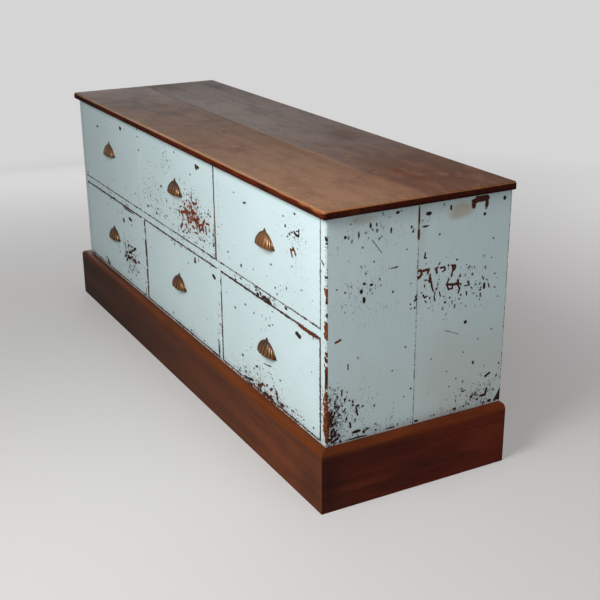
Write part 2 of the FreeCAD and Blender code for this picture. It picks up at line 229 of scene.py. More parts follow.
def board(low, high, cell=chip_cell):
    """A board with softened arrises, its front divided finely enough to carry chips."""
    mesh = block(low, high)
    bmesh.ops.bevel(mesh, geom=mesh.edges[:], offset=soft_arris, affect="EDGES", segments=2,
                    profile=0.5, material=-1)
    divide(mesh, [front], cell)
    return mesh


def make_piece(name, mesh, materials, shown):
    """The finished piece, with its first material on the faces that look a shown way and its last
    on the others."""
    mesh.normal_update()
    for face in mesh.faces:
        seen = max(face.normal.dot(way) for way in shown) > 0.3
        face.material_index = 0 if seen else len(materials) - 1
        face.smooth = True
    data = bpy.data.meshes.new(name)
    mesh.to_mesh(data)
    mesh.free()
    for material in materials:
        data.materials.append(material)
    data.set_sharp_from_angle(angle=math.radians(50))
    piece = bpy.data.objects.new(name, data)
    bpy.context.scene.collection.objects.link(piece)
    return piece


def places_of(piece):
    """The places of a piece's vertices, in mm."""
    places = numpy.empty(len(piece.data.vertices) * 3)
    piece.data.vertices.foreach_get("co", places)
    return places.reshape(-1, 3) / mm


def store(piece, name, values):
    """Stores one number for each vertex; where there is one already, the larger stays."""
    layer = piece.data.attributes.get(name) or piece.data.attributes.new(name, "FLOAT", "POINT")
    before = numpy.zeros(len(values))
    layer.data.foreach_get("value", before)
    layer.data.foreach_set("value", numpy.maximum(values, before))


def spots(across, height, marks, soft=0.5):
    """How far each point lies inside soft round marks, a half on their outlines. A mark is (place
    across, height, width, length[, strength]), in mm."""
    depth = numpy.zeros(len(across))
    for mark in marks:
        reach = numpy.hypot((across - mark[0]) / mark[2] * 2, (height - mark[1]) / mark[3] * 2)
        strength = mark[4] if len(mark) > 4 else 1.0
        depth = numpy.maximum(depth, strength * numpy.clip((1 + soft - reach) / (2 * soft), 0, 1))
    return depth


def scrapes(across, height, marks):
    """The same for scrapes: (one end across and up, the other end across and up, width), in mm."""
    depth = numpy.zeros(len(across))
    for x0, z0, x1, z1, width in marks:
        run = numpy.array((x1 - x0, z1 - z0))
        share = ((across - x0) * run[0] + (height - z0) * run[1]) / (run @ run)
        share = numpy.clip(share, 0, 1)
        reach = numpy.hypot(across - x0 - share * run[0], height - z0 - share * run[1]) / width * 2
        depth = numpy.maximum(depth, numpy.clip(1.5 - reach, 0, 1))
    return depth


def wear(piece, across, marks, arrises, outward):
    """Stores the wear of the face of a board that looks outward. Chips, scrapes and knocks are bare
    wood, spatter is flecks of it, smears are stained paint, and in fresh places the bare wood is
    orange. The arrises (low side, high side, foot, top) say how many mm of paint are gone there."""
    places = places_of(piece)
    u = places[:, across]
    v = places[:, 2]
    along = places @ numpy.array(outward)
    on_face = along > along.max() - face_depth
    worn = numpy.maximum(spots(u, v, marks.get("chips", ())), scrapes(u, v, marks.get("scrapes", ())))
    worn = numpy.maximum(worn, spots(u, v, marks.get("knocks", ()), soft=0.9))
    for gone, distance in zip(arrises, (u - u.min(), u.max() - u, v - v.min(), v.max() - v)):
        worn = numpy.maximum(worn, 0.5 + (gone - distance) / arris_fade)
    store(piece, "worn", worn * on_face)
    for kind, soft in (("spatter", 1), ("smear", 0.4), ("fresh", 0.5)):
        store(piece, kind, spots(u, v, marks.get(kind, ()), soft) * on_face)


# Cool pale satin paint, with dark and here and there orange wood in its chips
upright_paint = old_paint("old blue paint, brushed upright", (1, 1, 0.06))

# Plain red-brown wood on the inner faces, where nothing was painted
upright_wood = bare_wood("bare red-brown wood, upright", (1, 1, 0.05), "#7A4A30", "#3A1C12")

# The wear of the outer faces; across is y, from the front to the back
end_marks = {
    "right_end_front_board": {
        "chips": [
            (-183, 634, 7, 7), (-150, 634, 4, 16), (-134, 636, 4, 4), (-121, 651, 6, 12),
            (-106, 651, 4, 10), (-126, 624, 4, 4), (-140, 605, 4, 5), (-69, 633, 5, 14),
            (-53, 670, 10, 7), (-44, 672, 4, 4), (-16, 632, 5, 7), (-12, 621, 5, 6), (-27, 583, 4, 4),
            (-111, 569, 4, 5), (-135, 523, 8, 6), (-117, 517, 8, 6), (-203, 521, 4, 5), (-183, 511, 5, 5),
            (-142, 506, 8, 10), (-135, 486, 8, 16), (-61, 491, 5, 7), (-24, 352, 4, 5), (-58, 301, 4, 5),
            (-170, 254, 5, 5), (-188, 245, 5, 5), (-160, 240, 7, 5), (-148, 236, 9, 6), (-135, 232, 6, 5),
            (-120, 172, 6, 6), (-99, 163, 6, 5), (-25, 229, 4, 4), (-6, 245, 5, 5), (-150, 172, 24, 8),
            (-14, 453, 4, 5), (-12, 442, 4, 4), (-14, 502, 3, 4), (-2, 442, 5, 5), (3, 655, 5, 50),
            (2, 612, 4, 30), (-60, 158, 30, 4), (-150, 156, 60, 4)],
        "scrapes": [
            (-117, 619, -92, 586, 1.6), (-66, 546, -50, 547, 3), (-206, 400, -193, 404, 5),
            (-174, 330, -174, 342, 3.5), (-190, 270, -189, 284, 3.5), (-152, 232, -148, 212, 4),
            (-168, 198, -166, 186, 5), (-52, 158, -52, 229, 1.4), (-70, 161, -70, 186, 1.4),
            (0, 469, 2, 463, 4.5), (2, 463, -3, 459, 4.5), (-214, 236, -218, 226, 5),
            (-207, 232, -210, 222, 4), (-196, 246, -200, 238, 4), (-222, 178, -196, 176, 3),
            (-180, 236, -186, 228, 4), (-216, 160, -200, 166, 5)],
        "spatter": [
            (-120, 640, 200, 90, 0.28), (-140, 500, 150, 130, 0.34), (-185, 205, 150, 190, 0.4),
            (-215, 205, 50, 130, 1.0), (-120, 168, 260, 44, 0.42), (-100, 400, 400, 500, 0.06),
            (-150, 280, 100, 140, 0.22)],
        "smear": [(-143, 666, 60, 18, 1.0), (-100, 250, 260, 160, 0.25)],
        "fresh": [(-228, 240, 14, 170, 0.5), (0, 640, 10, 90, 0.5), (-200, 402, 20, 10, 0.6)],
        "knocks": [
            (-229, 250, 10, 24, 0.9), (-228, 230, 14, 30, 0.9), (-228, 208, 17, 34), (-229, 188, 13, 30),
            (-224, 168, 22, 12, 0.9), (-228, 520, 5, 14, 0.8), (-229, 436, 7, 24, 0.8),
            (-229, 320, 6, 34, 0.8)]},
    "right_end_back_board": {
        "chips": [
            (28, 656, 15, 9), (20, 628, 20, 4), (87, 661, 6, 13), (181, 633, 7, 8), (235, 663, 8, 10),
            (59, 604, 5, 5), (209, 572, 5, 5), (86, 527, 6, 6), (109, 537, 6, 6), (25, 541, 3.5, 3.5),
            (24, 555, 5, 4), (21, 560, 5, 4), (59, 487, 5, 8, 0.7), (137, 521, 4, 3), (145, 515, 5, 3.5),
            (207, 526, 5, 5, 0.7), (197, 474, 4, 4), (219, 485, 5, 5), (224, 474, 3, 3), (220, 452, 4, 4),
            (178, 452, 5, 5), (178, 429, 3, 4), (165, 468, 5, 5), (160, 448, 4, 4), (170, 439, 4, 4),
            (124, 450, 5, 6), (120, 441, 5, 4), (94, 449, 5, 5), (81, 440, 6, 6), (76, 455, 3.5, 3.5),
            (62, 498, 3, 3), (38, 458, 4, 7), (15, 475, 4, 4), (231, 427, 4, 4), (141, 380, 9, 9),
            (218, 347, 4, 4), (180, 330, 4, 4), (48, 307, 4, 4), (139, 305, 4, 4), (169, 272, 6, 9),
            (93, 266, 4, 4), (246, 254, 5, 5), (121, 241, 4, 4), (102, 225, 4, 4), (194, 208, 4, 4),
            (203, 179, 20, 7), (187, 172, 6, 6), (224, 160, 12, 8), (250, 163, 14, 16), (147, 163, 6, 5),
            (162, 165, 5, 5), (121, 162, 8, 7), (62, 161, 5, 5), (53, 161, 4, 4), (12, 158, 12, 6),
            (3, 655, 5, 50), (4, 612, 4, 30)],
        "scrapes": [
            (2, 526, 11, 529, 5), (11, 529, 14, 518, 5), (14, 518, 6, 511, 6.5), (18, 526, 33, 527, 6),
            (34, 526, 30, 518, 5), (37, 514, 35, 497, 5), (38, 506, 44, 480, 5), (44, 480, 47, 473, 4),
            (23, 503, 30, 502, 3), (23, 492, 23, 487, 3.5), (50, 525, 58, 528, 4), (53, 524, 55, 515, 6),
            (59, 533, 63, 538, 3), (65, 525, 71, 525, 5), (75, 526, 78, 519, 4.5),
            (78, 519, 71, 515, 4.5), (95, 526, 106, 524, 5), (98, 524, 100, 513, 6),
            (106, 522, 104, 515, 4.5), (98, 511, 95, 499, 4), (89, 495, 83, 481, 4),
            (83, 482, 114, 478, 5.5), (114, 487, 116, 476, 6), (85, 479, 88, 471, 4),
            (88, 470, 100, 470, 4), (100, 470, 99, 477, 4), (116, 474, 120, 465, 4.5),
            (120, 465, 116, 456, 4.5), (143, 480, 147, 470, 4.5), (134, 470, 147, 470, 3.5),
            (183, 484, 187, 476, 3), (190, 465, 190, 455, 6), (202, 463, 204, 455, 3.5),
            (180, 443, 180, 436, 4), (151, 465, 156, 459, 2.5), (139, 455, 141, 447, 4),
            (64, 468, 67, 457, 3.5), (52, 469, 50, 457, 3.5), (50, 457, 53, 449, 3.5),
            (19, 469, 24, 461, 4), (24, 461, 30, 464, 4), (25, 454, 29, 449, 3), (85, 370, 122, 354, 1.4),
            (208, 228, 220, 234, 6), (140, 203, 152, 204, 3), (214, 194, 209, 178, 6),
            (256, 184, 240, 158, 7), (20, 555, 22, 567, 3.5), (158, 670, 185, 670, 14),
            (148, 667, 149, 655, 11), (149, 664, 160, 668, 10), (185, 667, 185, 653, 9),
            (184, 652, 184, 644, 3)],
        "spatter": [
            (110, 480, 260, 130, 0.3), (120, 440, 240, 60, 0.3), (30, 640, 70, 60, 0.3),
            (190, 185, 160, 90, 0.45), (130, 162, 260, 24, 0.4), (120, 400, 400, 500, 0.06)],
        "smear": [
            (116, 652, 62, 34, 1.4), (104, 642, 40, 20, 1.4), (150, 260, 320, 260, 0.5),
            (10, 620, 24, 120, 0.35)],
        "fresh": [
            (165, 660, 60, 44, 0.3), (20, 520, 60, 40, 0.5), (90, 500, 120, 80, 0.25),
            (4, 640, 10, 90, 0.5)]},
    "left_end_front_board": {
        "chips": [
            (-180, 600, 10, 14), (-120, 480, 14, 8), (-60, 350, 8, 18), (-150, 300, 20, 8),
            (-90, 190, 26, 10), (-40, 560, 6, 12), (-30, 240, 10, 10), (-100, 650, 12, 8)],
        "scrapes": [(-190, 430, -170, 424, 3), (-226, 520, -225, 470, 4), (-228, 250, -226, 200, 6)],
        "spatter": [
            (-150, 640, 160, 80, 0.3), (-190, 190, 120, 120, 0.6), (-80, 480, 160, 90, 0.3),
            (-100, 400, 400, 500, 0.06)]},
    "left_end_back_board": {
        "chips": [
            (60, 640, 18, 10), (120, 560, 10, 14), (200, 610, 8, 10), (90, 430, 16, 8), (180, 380, 8, 16),
            (140, 260, 12, 8), (220, 190, 18, 12), (240, 480, 6, 30)],
        "scrapes": [(70, 190, 72, 214, 5), (150, 500, 176, 492, 3)],
        "spatter": [(160, 200, 180, 120, 0.5), (110, 560, 200, 120, 0.25), (120, 400, 400, 500, 0.06)],
        "smear": [(190, 640, 60, 30, 1.2)]}}

# The wear of the front edge of the right-hand end, where the arris is knocked; across is x
arris_marks = {
    "scrapes": [
        (817, 641, 820, 634, 4), (819, 628, 821, 627, 3), (802, 586, 806, 583, 4),
        (807, 582, 811, 579, 5), (817, 554, 821, 552, 4), (813, 527, 814, 523, 3),
        (819, 525, 818, 520, 5), (818, 519, 821, 512, 7), (821, 506, 820, 495, 5),
        (820, 470, 821, 462, 3), (816, 451, 821, 445, 6), (815, 441, 819, 428, 7),
        (821, 440, 821, 412, 5), (814, 424, 816, 416, 6), (818, 380, 821, 373, 5),
        (816, 368, 819, 360, 6), (813, 352, 816, 347, 4), (820, 345, 819, 325, 5),
        (817, 338, 821, 318, 6), (819, 314, 817, 298, 6)],
    "knocks": [
        (819, 274, 13, 28, 0.8), (818, 245, 17, 34, 0.9), (819, 218, 20, 36), (820, 193, 22, 40),
        (821, 168, 16, 24, 0.8)],
    "spatter": [(812, 230, 30, 170, 0.5), (812, 400, 26, 120, 0.2), (812, 560, 26, 200, 0.15)],
    "fresh": [
        (818, 515, 14, 30, 1.0), (818, 430, 16, 50, 1.0), (818, 360, 14, 60, 0.6),
        (818, 220, 20, 150, 0.8)]}

for side, outward in (("right", right), ("left", left)):
    for place in ("front", "back"):
        node = side + "_end_" + place + "_board"
        end_board = block(*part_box(node))
        if place == "front":
            bmesh.ops.bevel(end_board, geom=arris_between(end_board, outward, front),
                            offset=knocked_arris, affect="EDGES", segments=5, profile=0.5, material=-1)
            shown = [outward, front]
            painted = shown
            arrises = (-1, 0.2, 1, 0.3)
        else:
            shown = [outward]
            painted = [outward, back]
            arrises = (0.2, 0.5, 1, 0.3)
        divide(end_board, shown, chip_cell)
        piece = make_piece("painted_" + node, end_board, [upright_paint, upright_wood], painted)
        wear(piece, 1, end_marks[node], arrises, outward)
        if node == "right_end_front_board":
            wear(piece, 0, arris_marks, (-1, -1, 0.5, -1), front)
        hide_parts(node)
        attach(piece, "carcass")

# The bottom board
# One board under the lower drawers, let into the ends. Only its painted front edge shows, as a
# thin strip above the plinth; drawers have rubbed the rest bare.

inner_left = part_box("left_end_front_board")[1].x
inner_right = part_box("right_end_front_board")[0].x

# The same paint and wood as the ends, with their strokes and grain level
level_paint = old_paint("old blue paint, brushed level", (0.06, 1, 1))
level_wood = bare_wood("bare red-brown wood, level", (0.05, 1, 1), "#7A4A30", "#3A1C12")


def rail_between_ends(node, marks, arrises):
    """A level painted-edge board between the two ends."""
    low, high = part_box(node)
    low.x = inner_left
    high.x = inner_right
    piece = make_piece("painted_" + node, board(low, high), [level_paint, level_wood], [front])
    wear(piece, 0, marks, arrises, front)
    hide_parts(node)
    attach(piece, "carcass")


bottom_marks = {"spatter": [(520, 154, 420, 20, 0.7), (60, 154, 400, 20, 0.3), (-450, 154, 400, 20, 0.2)]}
rail_between_ends("bottom_board", bottom_marks, (-1, -1, -1, 0.6))

# The partitions
# Two upright boards part the three columns of drawers. They are notched round the rail and show
# only their painted front edges.

# The wear of the front edges; across is x
partition_marks = {
    "left_partition": {
        "chips": [
            (-287, 200, 7, 9), (-287, 181, 8, 14), (-287, 166, 7, 12), (-286, 673, 7, 9),
            (-284, 651, 8, 6), (-279, 613, 10, 6)],
        "scrapes": [
            (-266, 400, -267, 388, 7), (-266, 375, -266, 366, 7), (-267, 340, -266, 292, 7),
            (-266, 280, -267, 262, 5), (-266, 246, -266, 205, 7), (-267, 195, -266, 160, 7)],
        "spatter": [(-277, 280, 30, 260, 0.25), (-277, 560, 30, 260, 0.1)]},
    "right_partition": {
        "chips": [(277, 375, 6, 16), (255, 448, 6, 40), (255, 660, 4, 30)],
        "scrapes": [
            (277, 345, 277, 270, 4.5), (277, 262, 276, 225, 6), (277, 215, 277, 160, 6),
            (255, 530, 255, 500, 4), (255, 490, 255, 430, 6), (256, 200, 255, 160, 5)],
        "spatter": [(266, 280, 30, 260, 0.3), (266, 480, 30, 120, 0.3), (266, 600, 30, 160, 0.1)]}}
hidden_cell = 20 * mm
rail_low, rail_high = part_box("middle_rail")
for node, marks in partition_marks.items():
    low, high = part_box(node)
    partition = board(low, Vector((high.x, high.y, rail_low.z)))
    above = board(Vector((low.x, low.y, rail_high.z)), high)
    behind = board(Vector((low.x, rail_high.y, rail_low.z)), Vector((high.x, high.y, rail_high.z)),
                   hidden_cell)
    for part in (above, behind):
        joined = bpy.data.meshes.new("joined")
        part.to_mesh(joined)
        part.free()
        partition.from_mesh(joined)
        bpy.data.meshes.remove(joined)
    piece = make_piece("painted_" + node, partition, [upright_paint, upright_wood], [front])
    wear(piece, 0, marks, (-1, -1, -1, -1), front)
    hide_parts(node)
    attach(piece, "carcass")

# The rail
# A board between the two rows of drawers, painted as the ends are and tenoned into them. It
# carries the fronts of the upper drawers, and its lower arris has taken most of the knocks.

rail_marks = {
    "chips": [(399, 423, 14, 5), (492, 412, 13, 7), (506, 419, 12, 5), (519, 413, 12, 8),
              (531, 416, 14, 8), (549, 413, 17, 13), (562, 410, 10, 7), (637, 423, 14, 7),
              (-528, 409, 20, 5)],
    "spatter": [(530, 416, 150, 34, 0.5), (480, 412, 480, 30, 0.3), (0, 412, 500, 30, 0.3),
                (-520, 412, 500, 30, 0.25)]}
rail_between_ends("middle_rail", rail_marks, (-1, -1, 1.2, 0.2))

# The runners and stops
# Strips of pine beside each upright carry the upper drawers. Two small blocks behind each front
# stop the drawer when it is shut. They are glued in, unpainted and dusty.

# Warm brown pine, dry and dull, with its grain the way that each board runs
lengthwise_pine = bare_wood("aged pine, front to back", (1, 0.04, 1), "#B98F5E", "#8E6840")
level_pine = bare_wood("aged pine, side to side", (0.04, 1, 1), "#B98F5E", "#8E6840")


def finish_node(node, material):
    """A frame piece that keeps its own shape and takes a material."""
    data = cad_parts[node].data
    data.materials.clear()
    data.materials.append(material)


finish_node("upper_drawer_runners", lengthwise_pine)
finish_node("drawer_stops", level_pine)

# The back
# Twelve upright pine boards nailed into a rebate, chamfered where they meet. It is a guess, as
# such backs are made, and has only the grime of a wall behind it.

# Greyer and darker than the pine inside
upright_pine = bare_wood("aged pine, upright", (1, 1, 0.04), "#A9855A", "#7C5A38")
finish_node("back_boards", upright_pine)

# The battens and screws under the top
# Pine battens lie along the ends and partitions and keep the upper drawers from tipping; two
# steel screws go up through each into the top.

# Grey metal with brown tarnish, no longer bright
steel, tree, shader, coordinates = new_material("dull old steel")
tarnish = add(tree, "TexNoise", {"Vector": coordinates, "Scale": 1 / (2 * mm), "Detail": 2.0}).outputs[0]
shade = add(tree, "Mix", {0: tarnish, 6: linear("#4A4540"), 7: linear("#8A837A")},
            data_type="RGBA").outputs[2]
tree.links.new(shade, shader.inputs["Base Color"])
shader.inputs["Metallic"].default_value = 1.0
shader.inputs["Roughness"].default_value = 0.45

finish_node("top_battens", lengthwise_pine)
finish_node("top_screws", steel)

# The top
# Two mahogany boards jointed along their length and waxed, with a painted grey sheen and a painted
# highlight along the rounded front arris, which is also worn pale. Screws from below hold them.

# Brown wood, redder and darker towards the near end; its pale grey at the far left and in broad
# places is painted sheen, over a soft sheen of wax
faded_mahogany, tree, shader, coordinates = new_material("waxed mahogany, painted sheen")
along, longish = [add(tree, "Mapping", {"Vector": coordinates, "Scale": (stretch, 1, 1)}).outputs[0]
                  for stretch in (0.045, 0.45)]
pores, bands, streaks, clouds, figure, swirls = [
    add(tree, "TexNoise", {"Vector": where, "Scale": 1 / size, "Detail": detail,
                           "Distortion": bend}).outputs[0]
    for where, size, detail, bend in (
        (along, 1.5 * mm, 3.0, 0.0), (along, 18 * mm, 3.0, 0.8), (along, 3 * mm, 2.0, 0.0),
        (coordinates, 110 * mm, 4.0, 0.0), (longish, 30 * mm, 5.0, 0.6), (coordinates, 70 * mm, 5.0, 1.5))]
place_x, place_y, place_z = add(tree, "SeparateXYZ", {0: coordinates}).outputs
near = add(tree, "MapRange", {"Value": place_x, "From Min": -0.75, "From Max": 0.75}).outputs[0]

# The joint is sharp at the left-hand end, and the two boards' colours run together at the other
blend = add(tree, "MapRange", {"Value": place_x, "From Min": 0.1, "From Max": 0.8,
                               "To Min": 1 * mm, "To Max": 24 * mm}).outputs[0]
drift = add(tree, "Math", {0: clouds, 1: 0.5}, operation="SUBTRACT").outputs[0]
drift = add(tree, "Math", {0: drift, 1: blend, 2: place_y}, operation="MULTIPLY_ADD").outputs[0]
behind = add(tree, "Math", {0: drift, 1: 2.5 * mm}, operation="SUBTRACT").outputs[0]
behind = add(tree, "Math", {0: behind, 1: blend}, operation="DIVIDE", use_clamp=True).outputs[0]
# Painted sheen: towards the far left both boards are greyer and paler, and the sheen colour is paler still
front_wood, back_wood, sheen_colour = [
    add(tree, "Mix", {0: share, 6: linear(one), 7: linear(other)}, data_type="RGBA").outputs[2]
    for share, one, other in ((near, "#9A877A", "#926A50"), (near, "#9A908A", "#6E4C3A"),
                              (behind, "#DAB08C", "#CEBFB8"))]
top_colour = add(tree, "Mix", {0: behind, 6: front_wood, 7: back_wood}, data_type="RGBA").outputs[2]

# Places of painted sheen, tawny, warm and stained places, broken up by the clouds, and the grain's own darks
# and lights
painted_sheen, rim, rubbed_and_highlight, tawny, warmth, stain = [
    add(tree, "Attribute", attribute_name=mark).outputs["Fac"]
    for mark in ("painted_sheen", "rim", "rubbed_and_highlight", "tawny", "warmth", "stain")]
tawny, warmth, stain = [
    add(tree, "Math", {0: mark, 1: clouds}, operation="MULTIPLY").outputs[0]
    for mark in (tawny, warmth, stain)]
grain, band, light, dark, mottle = [
    add(tree, "MapRange", {"Value": pattern, "From Min": start, "From Max": full,
                           "To Max": most}).outputs[0]
    for pattern, start, full, most in (
        (pores, 0.4, 0.7, 0.2), (bands, 0.45, 0.65, 0.18), (figure, 0.5, 0.7, 0.25),
        (figure, 0.5, 0.3, 0.25), (clouds, 0.52, 0.75, 0.3))]
stain = add(tree, "Math", {0: stain, 1: mottle}, operation="ADD").outputs[0]

# Fine scratches and ring marks, paler than the wood, in some places only
scratch = add(tree, "Math", {0: swirls, 1: 0.5}, operation="SUBTRACT").outputs[0]
scratch = add(tree, "Math", {0: scratch}, operation="ABSOLUTE").outputs[0]
scratch = add(tree, "MapRange", {"Value": scratch, "From Min": 0.012, "From Max": 0.002,
                                 "To Max": 0.5}).outputs[0]
scratched = add(tree, "MapRange", {"Value": clouds, "From Min": 0.5, "From Max": 0.56}).outputs[0]
scratch = add(tree, "Math", {0: scratch, 1: scratched}, operation="MULTIPLY").outputs[0]
layers = [(painted_sheen, sheen_colour), (tawny, linear("#B87C46")), (warmth, linear("#6E3414")),
          (grain, linear("#3E2A20")), (band, linear("#5E4436")), (light, linear("#A87C5C")),
          (dark, linear("#4E382C")), (stain, linear("#38241C")), (scratch, linear("#B49070"))]

# Dirt in the joint and in a crack behind it, both strongest at the left-hand end
for line_y, line_end in ((3 * mm, 0.25), (135 * mm, -0.66)):
    off = add(tree, "Math", {0: place_y, 1: line_y}, operation="SUBTRACT").outputs[0]
    off = add(tree, "Math", {0: off}, operation="ABSOLUTE").outputs[0]
    line = add(tree, "MapRange", {"Value": off, "From Min": 2.2 * mm, "From Max": 0.6 * mm}).outputs[0]
    reach = add(tree, "MapRange", {"Value": place_x, "From Min": line_end, "From Max": line_end - 0.5,
                                   "To Max": 1.3}).outputs[0]
    broken = add(tree, "Math", {0: reach, 1: clouds}, operation="MULTIPLY").outputs[0]
    line = add(tree, "Math", {0: line, 1: broken}, operation="MULTIPLY", use_clamp=True).outputs[0]
    layers.append((line, linear("#1E120D")))

# The rounded edge is dark red-brown, with painted light that brightens it towards the near end; the
# upper arris is rubbed to bare wood and carries a painted highlight
edge_tone = add(tree, "Math", {0: near, 1: 0.25, 2: bands}, operation="MULTIPLY_ADD").outputs[0]
edge_tone = add(tree, "Math", {0: streaks, 1: 3.0, 2: edge_tone}, operation="MULTIPLY_ADD").outputs[0]
edge_tone = add(tree, "MapRange", {"Value": edge_tone, "From Min": 1.56, "From Max": 2.66}).outputs[0]
# Painted shade: the edge is darker on the right-hand end, which is in shade, and low on the rounded edge,
# under the nose
in_front = add(tree, "MapRange", {"Value": place_x, "From Min": 0.833, "From Max": 0.828,
                                  "To Min": 0.5}).outputs[0]
lit = add(tree, "MapRange", {"Value": place_z, "From Min": 0.683, "From Max": 0.69,
                             "To Min": 0.2}).outputs[0]
for share in (in_front, lit):
    edge_tone = add(tree, "Math", {0: edge_tone, 1: share}, operation="MULTIPLY").outputs[0]
edge_colour = add(tree, "Mix", {0: edge_tone, 6: linear("#140504"), 7: linear("#5E2006")},
                  data_type="RGBA").outputs[2]
rub_and_highlight_share = add(tree, "Math", {0: clouds, 1: 1.2, 2: rubbed_and_highlight}, operation="MULTIPLY_ADD").outputs[0]
rub_and_highlight_share = add(tree, "MapRange", {"Value": rub_and_highlight_share, "From Min": 0.85, "From Max": 1.45, "To Max": 0.85}).outputs[0]
layers += [(rim, edge_colour), (rub_and_highlight_share, linear("#A4683A"))]
for share, layer in layers:
    top_colour = add(tree, "Mix", {0: share, 6: top_colour, 7: layer}, data_type="RGBA").outputs[2]
tree.links.new(top_colour, shader.inputs["Base Color"])
dullness = add(tree, "MapRange", {"Value": rim, "To Min": 0.48, "To Max": 0.7}).outputs[0]
tree.links.new(dullness, shader.inputs["Roughness"])
shader.inputs["Specular IOR Level"].default_value = 0.08
bump = add(tree, "Bump", {"Height": pores, "Strength": 0.25, "Distance": 0.15 * mm}).outputs[0]
tree.links.new(bump, shader.inputs["Normal"])

# Where the wood is stained, warm or tawny and where painted sheen lies, across being x and height y;
# then how softly each kind ends, and the rubbed places and painted highlights of the front edge, across x
# and height z
top_marks = {
    "stain": [
        (-835, -150, 120, 330, 0.8), (-700, 215, 130, 50, 0.8), (-720, 75, 110, 50, 0.7),
        (733, -85, 14, 8), (472, 224, 16, 8), (-732, 11, 60, 16, 0.6), (-746, 198, 50, 20, 0.9),
        (270, 65, 120, 6, 0.9), (-400, 150, 300, 120, 0.25), (100, 160, 500, 100, 0.3),
        (560, 200, 240, 60, 0.4)],
    "warmth": [
        (700, 120, 420, 230, 1.0), (740, 70, 90, 60, 1.3), (20, -40, 60, 12, 0.9), (40, 50, 50, 12, 0.8),
        (215, 35, 26, 12, 0.9), (300, 70, 16, 60, 0.5), (560, 60, 160, 50, 0.6), (420, 110, 200, 24, 0.6),
        (780, 190, 110, 40, 0.7), (-810, 0, 240, 560, 0.55), (-800, -190, 130, 260, 1.0),
        (640, 150, 260, 90, 0.6), (625, 80, 90, 44, 1.8), (696, 84, 100, 50, 1.8), (6, -42, 14, 8),
        (44, 241, 14, 8)],
    "tawny": [(330, -14, 260, 26, 1.4), (520, -12, 300, 22, 1.2), (0, -50, 180, 70, 0.6)],
    "painted_sheen": [(-330, -150, 820, 320, 0.9), (0, -180, 1100, 280, 0.4), (-350, 130, 900, 400, 0.5)]}
top_softness = {"stain": 0.6, "warmth": 0.7, "tawny": 0.7, "painted_sheen": 0.9}
edge_rubs_and_highlights = [
    (800, 696, 40, 6, 0.7), (745, 697, 40, 5, 0.7), (655, 697, 60, 4, 0.6), (420, 697, 80, 4, 0.5)]
corner_round = 7 * mm
upper_round = 6 * mm
lower_round = 4 * mm
top_cell = 5 * mm

# In mm, for the marks on the edge: how deep it is and how far a corner reaches; how far under the
# upper face the dark rim begins and the rubbed arris with its painted highlight lies; how softly each of
# them ends
edge_depth = 6
corner_reach = 8
rim_below = 2.2
arris_below = 2
rim_fade = 1.5
rub_fade = 1.4
corner_fade = 3
front_low, front_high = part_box("top_front_board")
back_low, back_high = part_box("top_back_board")
for node, plain in (("top_front_board", [front_high.y]), ("top_back_board", [back_low.y, back_high.y])):
    slab = block(*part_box(node))
    if node == "top_front_board":
        corners = arris_between(slab, front, left) + arris_between(slab, front, right)
        bmesh.ops.bevel(slab, geom=corners, offset=corner_round, affect="EDGES", segments=6,
                        profile=0.5, material=-1)
    for way, radius in ((up, upper_round), (down, lower_round)):
        slab.normal_update()
        face = max(slab.faces, key=lambda face: face.normal.dot(way) * face.calc_area())
        rims = [edge for edge in face.edges
                if not any(all(abs(vert.co.y - y) < 0.1 * mm for vert in edge.verts) for y in plain)]
        bmesh.ops.bevel(slab, geom=rims, offset=radius, affect="EDGES", segments=5,
                        profile=0.5, material=-1)
    divide(slab, [up, front, left, right], top_cell)
    piece = make_piece("waxed_" + node, slab, [faded_mahogany], [up])
    places = places_of(piece)
    below = front_high.z / mm - places[:, 2]
    at_front = places[:, 1] < front_low.y / mm + edge_depth
    at_edge = at_front | (places[:, 0] > front_high.x / mm - edge_depth)
    off_corner = numpy.hypot(places[:, 0] - front_high.x / mm, places[:, 1] - front_low.y / mm)
    at_corner = off_corner < corner_reach
    off_arris = abs(below - arris_below)
    store(piece, "rim", numpy.clip((below - rim_below) / rim_fade, 0, 1))
    # Along the upper arris, pale rubbed wood and a painted highlight; at the rounded corner and in the
    # listed places, more painted highlight
    store(piece, "rubbed_and_highlight", numpy.clip(1 - off_arris / rub_fade, 0, 0.8) * at_edge)
    store(piece, "rubbed_and_highlight", numpy.clip(1.3 - off_arris / corner_fade, 0, 1.3) * at_corner)
    store(piece, "rubbed_and_highlight", spots(places[:, 0], places[:, 2], edge_rubs_and_highlights, soft=0.8) * at_front)
    for kind, marks in top_marks.items():
        store(piece, kind, spots(places[:, 0], places[:, 1], marks, top_softness[kind]))
    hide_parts(node)
    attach(piece, "carcass")

# The plinth
# Mahogany boards planted round the foot of the case and mitred at the corners, with a rounded
# upper edge. Flame-figured and never painted.


